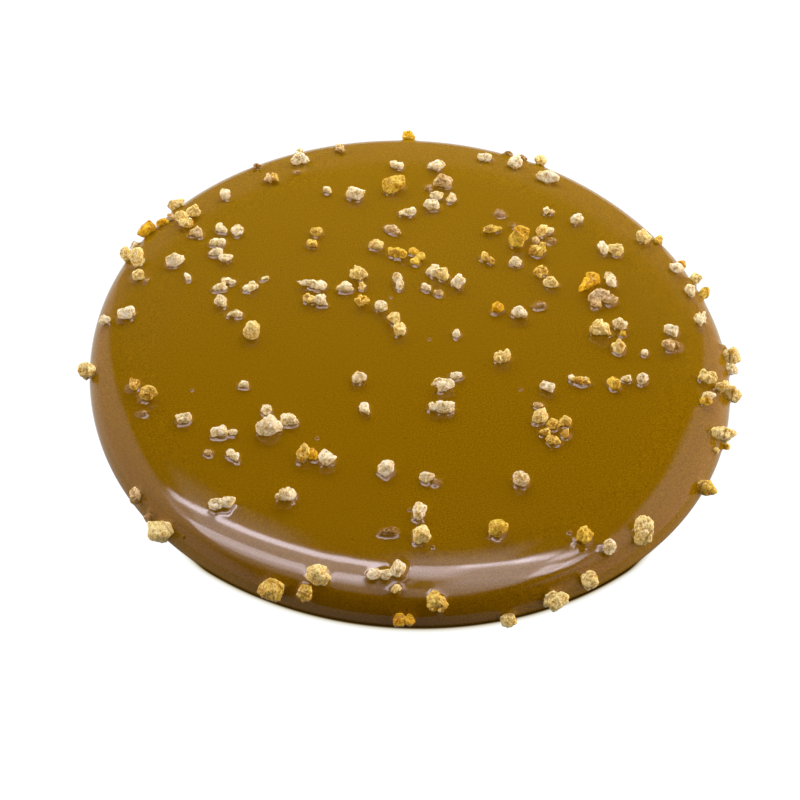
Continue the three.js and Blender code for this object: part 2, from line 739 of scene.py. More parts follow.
CREAM = crumbs_from(
    # back left
    (-24.2, 20.6, 1.8, 1.1, -55), (-21.9, 20.0, 1.5, 1.4), (-23.7, 27.0, 1.8, 1.2, -45),
    (-24.4, 17.9, 1.9, 1.1, -10, Form.TWIN), (-24.5, 16.3, 1.7, 0.9), (-23.3, 15.1, 1.8, 1.2),
    (-29.7, 14.7, 2.3, 1.4), (-14.2, 33.4, 2.3, 1.4), (-35.1, 19.7, 1.2, 0.9), (-14.1, 35.7, 1.2, 0.8),
    # back
    (-1.3, 32.1, 1.8, 1.1, 0, Form.TWIN), (3.9, 31.9, 2.1, 1.4), (-7.1, 26.6, 2.3, 1.5, -20),
    (-10.5, 27.5, 1.0, 1.0), (3.9, 26.6, 1.9, 1.0), (5.8, 26.0, 1.2, 1.2), (3.1, 24.7, 2.0, 1.4),
    (0.1, 23.4, 2.2, 1.1), (13.8, 14.5, 1.4, 1.1), (10.4, 33.9, 1.9, 1.0), (14.2, 32.9, 1.9, 1.5),
    # back right
    (18.3, 30.2, 2.8, 1.4), (18.4, 23.6, 1.5, 0.9, 0, Form.TWIN), (21.9, 22.0, 1.7, 1.2),
    (18.5, 20.1, 0.9, 0.8), (25.0, 17.0, 2.0, 1.2, -65), (34.3, 14.1, 1.8, 1.5), (35.7, 10.3, 1.4, 1.5),
    (36.6, 5.2, 1.7, 1.5, 0, Form.RING),
    # right
    (25.8, 11.1, 2.1, 1.5, -60), (14.1, 5.5, 1.9, 1.5), (26.6, 3.6, 2.0, 1.3, -30, Form.EGG),
    (29.4, -0.9, 1.0, 0.8), (32.8, 2.8, 1.8, 1.2), (39.8, -1.4, 1.5, 1.4), (36.7, -7.6, 1.4, 1.2),
    (20.3, -5.2, 0.9, 1.0), (27.0, -5.3, 1.3, 0.9), (28.9, -5.4, 1.4, 1.2), (17.2, -6.7, 1.7, 1.4),
    # left
    (-27.9, 11.9, 1.5, 0.7, -50), (-22.7, 11.2, 1.7, 0.8), (-23.8, 10.2, 1.9, 1.0),
    (-19.9, 10.1, 2.0, 1.2, 0, Form.RING), (-23.5, 7.6, 1.6, 1.3), (-21.6, 5.5, 1.9, 1.0),
    (-35.3, 5.9, 2.0, 1.5), (-38.0, 5.4, 1.3, 1.2), (-20.2, -6.2, 1.3, 0.9), (-27.2, -11.7, 1.8, 1.3),
    (-22.7, -13.8, 2.1, 1.3), (-21.3, -13.9, 1.2, 0.8), (-17.3, -10.4, 1.5, 1.1), (-16.8, -13.4, 2.8, 1.9),
    (-16.5, -12.0, 1.2, 1.0), (-14.5, -11.9, 2.0, 1.3),
    # middle
    (-12.1, 10.5, 3.6, 1.3, 0, Form.FLAKE), (-10.8, 7.6, 1.7, 1.4, 0, Form.KNOT), (-7.9, 10.0, 1.8, 1.2),
    (-3.4, 6.6, 1.7, 1.4), (-1.2, 11.0, 2.2, 1.3, -75, Form.TWIN), (2.4, 10.1, 1.4, 0.8, -40),
    (3.5, 12.8, 2.0, 1.5, -20, Form.KNOT), (6.4, 10.8, 1.8, 1.5), (6.1, 2.2, 0.9, 0.8),
    (-6.0, -5.2, 1.7, 1.4), (-5.3, -10.1, 1.9, 1.0, -65), (6.0, -4.8, 1.6, 0.9),
    (4.5, -6.5, 2.8, 1.6, 0, Form.KNOT), (4.2, -10.1, 3.1, 1.5),
    # front left
    (-21.0, -17.5, 2.1, 1.0, -40), (-22.1, -24.9, 3.0, 1.4, 0, Form.TWIN), (-14.4, -23.8, 2.2, 1.6, 40),
    (-9.7, -18.3, 1.9, 1.7, 0, Form.EGG),
    # front
    (-2.6, -19.6, 2.1, 1.6), (2.2, -21.0, 1.7, 1.1), (13.5, -21.4, 2.2, 1.8, 0, Form.KNOT),
    (1.4, -26.2, 1.6, 1.9), (-3.4, -35.1, 2.8, 1.3, 10, Form.TWIN), (-1.2, -34.6, 1.7, 1.9),
    (23.5, -30.6, 1.4, 1.8),
)

STRAW = crumbs_from(
    (-29.9, 26.3, 2.1, 1.2), (-35.7, 16.9, 1.6, 1.8), (-34.5, 15.6, 2.1, 2.2), (-34.2, 12.5, 1.8, 1.3),
    (-27.7, 23.6, 1.8, 1.4), (-29.2, 22.9, 1.7, 1.3), (-28.5, 21.6, 1.8, 1.3), (-4.1, 17.5, 1.9, 1.2),
    (17.5, 34.1, 1.6, 1.3), (17.4, 20.0, 1.4, 1.5), (26.7, 16.6, 1.7, 1.4),
    (30.3, 19.1, 2.4, 1.8, 0, Form.KNOT), (36.4, 13.4, 1.5, 1.4), (18.1, 10.8, 1.6, 1.4),
    (24.0, 2.7, 2.9, 1.8, 0, Form.KNOT), (26.3, -0.2, 1.7, 1.4), (39.8, 0.6, 2.1, 2.0),
    (36.9, -4.7, 2.7, 1.7, -25, Form.KNOT), (38.5, -5.5, 1.6, 1.3), (39.5, -5.8, 2.0, 1.8),
    (37.9, -12.5, 3.0, 1.9, 0, Form.KNOT), (37.2, -14.8, 0.9, 0.8), (16.0, -11.5, 1.7, 1.6),
    (-18.1, 11.8, 1.2, 0.5, 20), (-19.5, 2.4, 1.9, 2.3, 0, Form.EGG), (-39.2, -2.1, 2.0, 2.2),
    (-12.4, 7.9, 1.7, 1.2, 0, Form.KNOT), (-6.3, 12.2, 2.5, 1.6, 0, Form.KNOT), (-5.8, 10.3, 0.9, 0.9),
    (-1.7, 4.6, 1.5, 1.5), (-0.9, 2.6, 1.6, 1.7, 0, Form.KNOT), (4.5, 12.2, 1.7, 1.5),
    (11.7, -2.1, 2.2, 1.6, 0, Form.KNOT), (-28.7, -26.6, 2.9, 2.6, -20), (-10.3, -35.0, 2.6, 2.3, -45),
    (1.5, -30.0, 2.0, 2.1, 0, Form.EGG), (-1.4, -36.9, 1.3, 0.9), (11.7, -39.3, 1.7, 1.6),
    (27.5, -28.1, 3.4, 2.1, 85), (20.8, -34.2, 2.1, 2.2), (17.0, -36.5, 2.9, 2.1, 35),
)

HONEY = crumbs_from(
    (-11.7, 19.8, 1.6, 1.2), (-12.3, 17.8, 1.5, 1.1), (11.1, 20.4, 2.3, 1.0),
    (10.3, 15.1, 1.8, 1.1, -20, Form.TWIN), (16.7, 16.4, 2.2, 1.4, 0, Form.KNOT), (-17.4, 29.9, 1.1, 1.5),
    (16.9, 12.6, 2.1, 1.4, 0, Form.KNOT), (21.3, -5.5, 2.4, 1.1, 0, Form.RING), (19.1, -12.3, 1.5, 1.3),
    (17.6, -12.7, 1.4, 1.1), (16.7, -14.0, 1.2, 0.9), (19.1, -14.2, 1.0, 1.0), (17.5, -15.2, 1.8, 1.1),
    (-33.5, -6.1, 1.5, 1.4), (-31.8, -7.8, 2.5, 1.8, 0, Form.KNOT), (-5.7, 7.5, 1.7, 1.4, 0, Form.RING),
    (-15.6, -35.5, 2.6, 2.5), (-12.6, -17.7, 1.7, 1.8, 0, Form.KNOT), (-11.8, -36.5, 1.7, 2.1),
    (3.2, -38.4, 3.1, 2.5, -50, Form.KNOT), (-1.3, 28.3, 1.0, 1.0),
)

GOLDEN = crumbs_from(
    (-1.8, 28.0, 2.9, 1.9, 20, Form.EGG), (-1.3, 16.0, 2.4, 1.2, -30, Form.STICK), (0.8, 16.4, 1.2, 0.9),
    (1.6, 15.4, 1.2, 1.0), (1.0, 14.6, 1.3, 0.9), (14.3, 18.6, 2.9, 2.1, 60, Form.TWIN),
    (32.2, 19.4, 1.2, 1.1), (37.4, 10.9, 1.4, 1.5), (25.4, -6.1, 2.1, 1.3, -40, Form.EGG),
    (39.0, -13.0, 1.2, 1.0), (36.5, -8.3, 1.4, 1.1), (20.6, -29.7, 2.4, 2.1, 60, Form.KNOT),
    (10.6, -28.9, 2.2, 1.8, -15, Form.EGG), (35.1, -20.1, 2.0, 2.0), (26.9, 2.3, 0.8, 0.7),
)

AMBER = crumbs_from(
    (-33.5, 21.3, 2.4, 1.6, 25), (-31.7, 22.6, 1.6, 0.9, 30), (0.1, 39.1, 1.7, 1.4),
    (22.8, 10.4, 3.7, 1.9, 44, Form.FLAKE), (11.4, 6.4, 1.5, 1.2, 0, Form.EGG), (34.9, 15.6, 1.4, 0.9),
    (-11.5, -17.4, 1.2, 1.2), (-0.4, -39.5, 2.5, 1.5, 0, Form.TWIN),
)

BEIGE = crumbs_from(
    (-32.2, -21.8, 1.3, 1.9), (-30.6, 23.5, 1.0, 0.8), (-27.2, 19.8, 1.7, 1.2, 0, Form.KNOT),
    (-18.2, 29.9, 1.0, 1.5), (-9.0, 35.9, 1.9, 1.0, -40), (4.8, 28.8, 2.5, 1.5, 0, Form.KNOT),
    (-1.9, 20.4, 2.3, 1.0, -20), (16.5, 18.4, 0.9, 1.0), (24.1, 8.4, 2.3, 1.6, 0, Form.EGG),
    (25.6, 7.8, 2.0, 1.1, 0, Form.EGG), (23.7, 7.3, 1.6, 1.0, 0, Form.EGG),
    (32.4, 0.2, 2.0, 1.4, 0, Form.KNOT), (15.9, -9.5, 1.2, 0.7), (3.8, 9.3, 1.2, 0.8),
    (-24.0, -17.0, 0.9, 0.7),
)

COATED = crumbs_from(
    (-30.6, -24.5, 1.4, 1.1), (-33.2, 11.8, 0.9, 0.8), (-19.8, 32.9, 1.4, 1.0), (-14.5, 31.3, 1.0, 0.7),
    (2.9, 28.1, 1.0, 1.0), (12.2, 23.4, 1.5, 1.0, -20), (13.8, 21.1, 1.0, 0.9), (18.5, 18.4, 1.1, 0.8),
    (16.7, 7.1, 1.6, 1.0, 0, Form.KNOT), (39.4, 2.0, 1.1, 0.8), (13.4, 35.4, 1.3, 0.9),
    (15.3, 34.7, 1.2, 0.9), (-32.1, -10.4, 0.8, 0.6), (3.4, -21.5, 1.0, 0.8),
    (-2.3, -29.1, 2.2, 1.0, 0, Form.KNOT), (33.4, 0.4, 1.2, 1.0),
)


KINDS = (
    CrumbKind("crumbs_cream", CrispCrumb("crisp_crumb_cream", "#E2DCC8", "#D4C79C", "#AE9250"), CREAM),
    CrumbKind("crumbs_straw", CrispCrumb("crisp_crumb_straw", "#E4D8A0", "#D0BC74", "#B08A38"), STRAW),
    CrumbKind("crumbs_honey", CrispCrumb("crisp_crumb_honey", "#D9C66C", "#BF9A3A", "#956C18"), HONEY),
    CrumbKind(
        "crumbs_golden",
        CrispCrumb("crisp_crumb_golden", "#DAC254", "#C6A12C", "#98700C", roughness=0.35),
        GOLDEN,
        knobs=0.12,
        grain=0.05,
        pits=0.03,
    ),
    CrumbKind(
        "crumbs_amber",
        CrispCrumb("crisp_crumb_amber", "#DCBA30", "#C8990E", "#9A6A06", roughness=0.3),
        AMBER,
        knobs=0.12,
        grain=0.04,
        pits=0.03,
    ),
    CrumbKind("crumbs_beige", CrispCrumb("crisp_crumb_beige", "#D2BE9A", "#B99E6A", "#957638"), BEIGE),
    CrumbKind(
        "crumbs_coated",
        CrispCrumb("crumb_under_chocolate", "#AE926E", "#91703A", "#785808", roughness=0.1, glow=0.2),
        COATED,
        lift=0.16,
        grain=0.05,
    ),
)


@dataclass
class Sprinkle:
    """All the crumbs that lie on the disc, one piece for each kind.

    Sizes are millimetres, and `tip` is degrees. A crumb's broken faces stray in direction and
    in distance from its middle, as shares of its half size. `edge_power` sharpens the edges
    between them.
    """

    section: PourSection
    grid: float = 0.1
    edge_power: float = 14.0
    face_stray: float = 0.28
    face_distance: tuple[float, float] = (0.74, 1.1)
    tip: float = 12.0
    knob_size: float = 0.8
    grain_size: float = 0.3
    bubble_spacing: float = 0.62
    bubble_reach: float = 0.42
    pit_waver: float = 1.1
    pit_start: float = 0.1
    film_height: float = 0.22
    film_edge: float = 0.6
    film_waver: float = 0.8
    film_sharpness: float = 4.0
    least_height: float = 0.02

    def seats(self) -> list[tuple[Crumb, Vector, Vector, float]]:
        """Every crumb with the point, the normal and the way of its seat."""
        return [(c, *self.section.seat(c.across, c.along)) for kind in KINDS for c in kind.crumbs]

    def build(self) -> list[bpy.types.Object]:
        """Make every kind's piece.

        Returns:
            The pieces, in metres, dressed and riding on the body.
        """
        return [self.build_kind(kind) for kind in KINDS]

    def nugget(self, chance: random.Random, ball: np.ndarray, facets: int) -> np.ndarray:
        """A blunt, faceted body about one unit in half size.

        Args:
            chance: The crumb's own seeded chance.
            ball: Unit directions, one row for each vertex.
            facets: How many broken faces it has.

        Returns:
            A point for each direction.
        """
        turn = chance.uniform(0, 2 * math.pi)
        total = np.zeros(len(ball))
        golden_angle = math.pi * (3 - math.sqrt(5))
        for k in range(facets):
            z = 1 - 2 * (k + 0.5) / facets
            around = turn + golden_angle * k
            flat = math.sqrt(1 - z * z)
            face = Vector((flat * math.cos(around), flat * math.sin(around), z))
            face += Vector([chance.uniform(-self.face_stray, self.face_stray) for _ in range(3)])
            face.normalize()
            distance = chance.uniform(*self.face_distance)
            facing = np.clip(ball @ np.array(face), 0, None)
            total += (facing / distance) ** self.edge_power
        return ball * (total ** (-1 / self.edge_power))[:, None]

    def lumps(self, kind: CrumbKind) -> bpy.types.Object:
        """Every lump of one kind's crumbs, in place and overlapping.

        Args:
            kind: The kind of crumb.

        Returns:
            A mesh object in millimetres.
        """
        sphere = bmesh.new()
        bmesh.ops.create_icosphere(sphere, subdivisions=4, radius=1.0)
        ball = np.array([v.co[:] for v in sphere.verts])
        ball_faces = np.array([[v.index for v in f.verts] for f in sphere.faces])
        sphere.free()
        points, faces, count = [], [], 0
        for crumb in kind.crumbs:
            chance = crumb.chance()
            spot, normal, _ = self.section.seat(crumb.across, crumb.along)
            upright = normal.rotation_difference(Vector((0, 0, 1))).inverted().to_matrix()
            turn = Matrix.Rotation(math.radians(crumb.turn), 3, "Z")
            tips = [math.radians(chance.uniform(-self.tip, self.tip)) for _ in range(3)]
            pose = np.array(upright @ turn @ Euler(tips).to_matrix())
            origin = np.array(spot + normal * kind.lift * 2 * crumb.halves()[2])
            for middle, half in crumb.lobes(chance):
                body = self.nugget(chance, ball, kind.facets) * np.array(half) + np.array(middle)
                points.append(body @ pose.T + origin)
                faces.append(ball_faces + count)
                count += len(ball)
        return mesh_object(kind.name + "_raw", np.concatenate(points), np.concatenate(faces).tolist())

    def build_kind(self, kind: CrumbKind) -> bpy.types.Object:
        """Make one kind's crumbs as one mesh.

        Args:
            kind: The kind of crumb.

        Returns:
            The piece, dressed and riding on the body.
        """
        raw = self.lumps(kind)
        remesh = raw.modifiers.new("join", "REMESH")
        remesh.mode = "VOXEL"
        remesh.voxel_size = self.grid
        graph = bpy.context.evaluated_depsgraph_get()
        mesh = bpy.data.meshes.new_from_object(raw.evaluated_get(graph))
        bpy.data.objects.remove(raw)
        self.roughen(mesh, kind)
        mesh.name = kind.name
        piece = bpy.data.objects.new(kind.name, mesh)
        bpy.context.scene.collection.objects.link(piece)
        mesh.polygons.foreach_set("use_smooth", [True] * len(mesh.polygons))
        mesh.transform(Matrix.Scale(MM, 4))
        mesh.materials.append(kind.finish.build())
        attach(piece, BODY)
        LOG.info("%s: %d crumbs, %d faces", kind.name, len(kind.crumbs), len(mesh.polygons))
        return piece

    def roughen(self, mesh: bpy.types.Mesh, kind: CrumbKind) -> None:
        """Give a kind's crumbs their knobs, grain, open bubbles with painted shade in them, and chocolate
        film, which also paints shade at their foot.

        Args:
            mesh: The joined crumbs, in millimetres; it is changed in place.
            kind: The kind of crumb.
        """
        points, normals = mesh_points(mesh), mesh_normals(mesh)
        pit_shade = np.empty(len(points))
        film_and_shade = np.empty(len(points))
        push = np.empty(len(points))
        above = self.section.clearance(points)
        for i, point in enumerate(points):
            spot = Vector(point)
            knobs = noise.noise(spot / self.knob_size)
            grain = noise.noise(spot / self.grain_size)
            from_bubble = noise.voronoi(spot / self.bubble_spacing)[0][0]
            hollow = max(0.0, 1.0 - from_bubble / self.bubble_reach)
            push[i] = kind.knobs * knobs + kind.grain * grain - kind.pits * hollow
            # painted shade in the hollows, where the shade colour is laid
            pit_shade[i] = min(1.0, max(0.0, hollow - self.pit_waver * grain - self.pit_start))
            # the film's share: chocolate crept up the crumb, and painted shade at its foot
            climb = above[i] / self.film_height + self.film_waver * knobs
            bare = self.film_sharpness * (climb - self.film_edge)
            film_and_shade[i] = 1.0 / (1.0 + math.exp(min(bare, 40.0)))  # which keeps the power finite
        points += normals * push[:, None]
        points[:, 2] = np.maximum(points[:, 2], self.least_height)
        mesh.vertices.foreach_set("co", points.ravel())
        for name, values in (("pit_shade", pit_shade), ("film_and_shade", film_and_shade)):
            layer = mesh.attributes.new(name, "FLOAT", "POINT")
            layer.data.foreach_set("value", values)
        mesh.update()


# ---- the disc -------------------------------------------------------------


@dataclass(frozen=True)
class Bead:
    """A bead that a bubble left: its place in plan, its radius and how far it stands up."""

    across: float
    along: float
    radius: float = 0.2
    rise: float = 0.16


BEADS = (
    Bead(2.7, 1.6), Bead(-2.1, 8.7), Bead(-11.0, -14.5), Bead(13.9, -6.7), Bead(-26.5, -6.8),
    Bead(-26.6, -28.2), Bead(0.2, -25.6), Bead(2.9, -31.1), Bead(19.0, -28.8),
)


@dataclass
class PouredDisc:
    """The chocolate: the section's surface, drawn up round every crumb that it wets.

    Its mesh is fine within `near` of a crumb and a bead, half as fine within `halo` of a crumb
    and over the edge's roll, and coarse elsewhere. At a crumb the chocolate climbs by `climb`
    and falls away over `run`, both uneven by `waver`. Chart points nearer than `weld` are one.
    """

    section: PourSection
    sprinkle: Sprinkle
    crumbs: list[bpy.types.Object]
    fine_step: float = 0.18
    near: float = 0.9
    halo: float = 1.8
    climb: float = 0.27
    run: float = 0.2
    waver: float = 0.45
    waver_size: float = 1.3
    bead_step: float = 0.07
    bead_rings: int = 8
    bead_turn: float = 0.1
    dry_foot: float = 0.7
    foot_rings: tuple[float, ...] = (0.75, 0.45, 0.2)
    foot_points: int = 240
    weld: float = 1e-7

    def build(self) -> bpy.types.Object:
        """Make the disc.

        Returns:
            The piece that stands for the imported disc, dressed and riding on the body.
        """
        chart = self.chart_points()
        found = delaunay_2d_cdt([Vector(p) for p in chart], [], [], 0, self.weld)
        flat = np.array([p[:] for p in found[0]])
        faces = [list(f) for f in found[2]]
        way = np.hypot(flat[:, 0], flat[:, 1])
        angle = np.arctan2(flat[:, 1], flat[:, 0])
        points, normals = self.section.place(way, angle)
        points += normals * self.draw_up(points, way)[:, None]
        points[:, 2] = np.maximum(points[:, 2], 0.0)
        disc = mesh_object("chocolate", points * MM, faces)
        disc.data.materials.append(MilkChocolate().build())
        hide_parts(DISC_NODE)
        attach(disc, BODY)
        LOG.info("chocolate: %d faces", len(faces))
        return disc

    def crumb_circles(self) -> np.ndarray:
        """Where the crumbs stand on the unrolled surface.

        Returns:
            Rows of chart x, chart y and radius.
        """
        rows = []
        for crumb, _, _, way in self.sprinkle.seats():
            angle = math.atan2(crumb.along, crumb.across)
            radius = max(crumb.length, crumb.width) / 2
            rows.append((way * math.cos(angle), way * math.sin(angle), radius))
        return np.array(rows)

    def chart_points(self) -> np.ndarray:
        """Points of the unrolled surface, close together only where there is detail.

        Returns:
            Rows of chart x and y, whose distance from the middle is the way along the section.
        """
        table = self.section.table()
        foot = table[-2, 0]
        roll_start = self.section.upper_table()[self.section.arc_steps, 0] - self.halo
        circles = self.crumb_circles()
        reach = self.halo + circles[:, 2].max()
        kept = [np.zeros((1, 2))]
        rings = int(foot / self.fine_step)
        for ring in range(1, rings + 1):
            number = np.arange(6 * ring)
            angle = number * (2 * math.pi / (6 * ring))
            way = foot * ring / rings
            spots = np.column_stack([way * np.cos(angle), way * np.sin(angle)])
            close = circles[np.abs(np.hypot(circles[:, 0], circles[:, 1]) - way) < reach]
            gaps = np.hypot(spots[:, :1] - close[:, 0], spots[:, 1:] - close[:, 1]) - close[:, 2]
            gap = gaps.min(axis=1, initial=np.inf)
            coarse = (ring % 4 == 0) & (number % 4 == 0)
            medium = (ring % 2 == 0) & (number % 2 == 0) & (gap < self.halo)
            rolling = (way > roll_start) & (number % 2 == 0)
            keep = coarse | medium | rolling | (gap < self.near)
            if ring == rings:
                keep[:] = number % 2 == 0
            kept.append(spots[keep])
        for share in self.foot_rings:
            angle = np.linspace(0, 2 * math.pi, self.foot_points + 1)[:-1]
            way = table[-1, 0] - (table[-1, 0] - foot) * share
            kept.append(np.column_stack([way * np.cos(angle), way * np.sin(angle)]))
        kept.append(self.bead_points())
        return np.concatenate(kept)

    def bead_points(self) -> np.ndarray:
        """Close-set chart points round each bead."""
        spots = []
        for bead in BEADS:
            _, _, way = self.section.seat(bead.across, bead.along)
            angle = math.atan2(bead.along, bead.across)
            middle = np.array((way * math.cos(angle), way * math.sin(angle)))
            for ring in range(self.bead_rings):
                number = max(1, 6 * ring)
                for k in range(number):
                    around = 2 * math.pi * k / number + self.bead_turn
                    step = self.bead_step * ring
                    spots.append(middle + step * np.array((math.cos(around), math.sin(around))))
        return np.array(spots)

    def draw_up(self, points: np.ndarray, way: np.ndarray) -> np.ndarray:
        """How far the chocolate stands off the plain section at each point.

        Args:
            points: Rows of x, y and z on the plain section.
            way: Each point's way along the section.

        Returns:
            One distance along the normal for each point.
        """
        corners, facets = [], []
        for piece in self.crumbs:
            start = len(corners)
            corners.extend((v.co / MM) for v in piece.data.vertices)
            facets.extend([start + i for i in p.vertices] for p in piece.data.polygons)
        tree = BVHTree.FromPolygons(corners, facets)
        rise = np.zeros(len(points))
        foot = self.section.table()[-2, 0]
        for i, point in enumerate(points):
            if way[i] > foot - self.dry_foot:
                continue
            spot = Vector(point)
            _, _, _, gap = tree.find_nearest(spot, self.halo)
            if gap is None:
                continue
            wet = 1.0 + self.waver * noise.noise(spot / self.waver_size)
            rise[i] = self.climb * wet * math.exp(-gap / (self.run * wet))
        for bead in BEADS:
            spot, _, _ = self.section.seat(bead.across, bead.along)
            gap = np.linalg.norm(points - np.array(spot), axis=1)
            rise += bead.rise * np.exp(-((gap / bead.radius) ** 2))
        return rise


# ---- the studio -----------------------------------------------------------


def show_only_in_gloss(thing: bpy.types.Object) -> None:
    """Make a stage object that nothing but a glossy surface sees.

    Args:
        thing: The object.
    """
    thing.visible_camera = False
    thing.visible_diffuse = False
    thing.visible_shadow = False
    thing.visible_transmission = False


def group(name: str, things: Iterable[bpy.types.Object]) -> bpy.types.Collection:
    """A collection of objects, for a lamp to be linked to."""
    made = bpy.data.collections.new(name)
    for thing in things:
        made.objects.link(thing)
    return made


@dataclass(frozen=True)
class MattLamp:
    """A soft rectangular lamp that lights matt colour and leaves no image in a gloss.

    `turns` are its turns about x, y and z, in degrees. With none it faces straight down.
    """

    name: str
    middle: tuple[float, float, float]
    size: tuple[float, float]
    turns: tuple[float, float, float]
    radiance: float
    tint: str

    def build(self, share: float = 1.0) -> bpy.types.Object:
        """Make the lamp.

        Args:
            share: How much of its radiance it gives.

        Returns:
            The lamp.
        """
        light = bpy.data.lights.new(self.name, "AREA")
        light.shape = "RECTANGLE"
        light.size = self.size[0] * MM
        light.size_y = self.size[1] * MM
        light.energy = share * self.radiance * math.pi * light.size * light.size_y
        light.color = linear(self.tint)[:3]
        lamp = bpy.data.objects.new(self.name, light)
        lamp.location = Vector(self.middle) * MM
        lamp.rotation_euler = [math.radians(t) for t in self.turns]
        lamp.visible_camera = False
        lamp.visible_glossy = False
        bpy.context.scene.collection.objects.link(lamp)
        return lamp


@dataclass(frozen=True)
class Lamps:
    """The lamps: one overhead and behind, one low on each side, and a fill for the crumbs.

    The room fills the crumbs' small shadows, so only a share of the key lamp's light throws
    them. Crisp crumbs pass light on from grain to grain, so that their near faces are hardly
    darker than their tops: the fill stands for that light.
    """

    key: MattLamp = MattLamp(
        "key_lamp", (0.0, 128.0, 100.0), (200.0, 60.0), (-42.0, 0.0, 0.0), 9.3, "#F6FFF2"
    )
    left: MattLamp = MattLamp(
        "left_lamp", (-320.0, -36.0, 66.0), (200.0, 140.0), (75.0, 0.0, -83.0), 7.3, "#FFF6EC"
    )
    right: MattLamp = MattLamp(
        "right_lamp", (320.0, -36.0, 64.0), (200.0, 140.0), (75.0, 0.0, 83.0), 12.4, "#FFF6EC"
    )
    fill: MattLamp = MattLamp(
        "crumb_fill", (-60.0, -250.0, 260.0), (200.0, 200.0), (44.0, 0.0, -13.0), 2.4, "#FFFDEC"
    )
    shadowed: float = 0.45

    def build(self, disc: bpy.types.Object, crumbs: list[bpy.types.Object]) -> None:
        """Make the lamps.

        Args:
            disc: The disc, which alone throws a shadow in most of the light.
            crumbs: The pieces that the fill lights.
        """
        self.key.build(self.shadowed)
        shadow_of_disc = group("throws_the_soft_shadow", [disc])
        for lamp in (self.key.build(1 - self.shadowed), self.left.build(), self.right.build()):
            lamp.light_linking.blocker_collection = shadow_of_disc
        fill = self.fill.build()
        fill.light_linking.receiver_collection = group("lit_by_crumb_fill", crumbs)
        fill.data.use_shadow = False


@dataclass(frozen=True)
class Glow:
    """A glowing patch of the softbox cloth: its ends along the cloth and its edges across it.

    Each of the four sides fades in over its own softness. `soft` is for the two ends, then
    for the near and the far edge.
    """

    ends: tuple[float, float]
    edges: tuple[float, float]
    level: float
    soft: tuple[float, float, float] = (10.0, 8.0, 6.0)


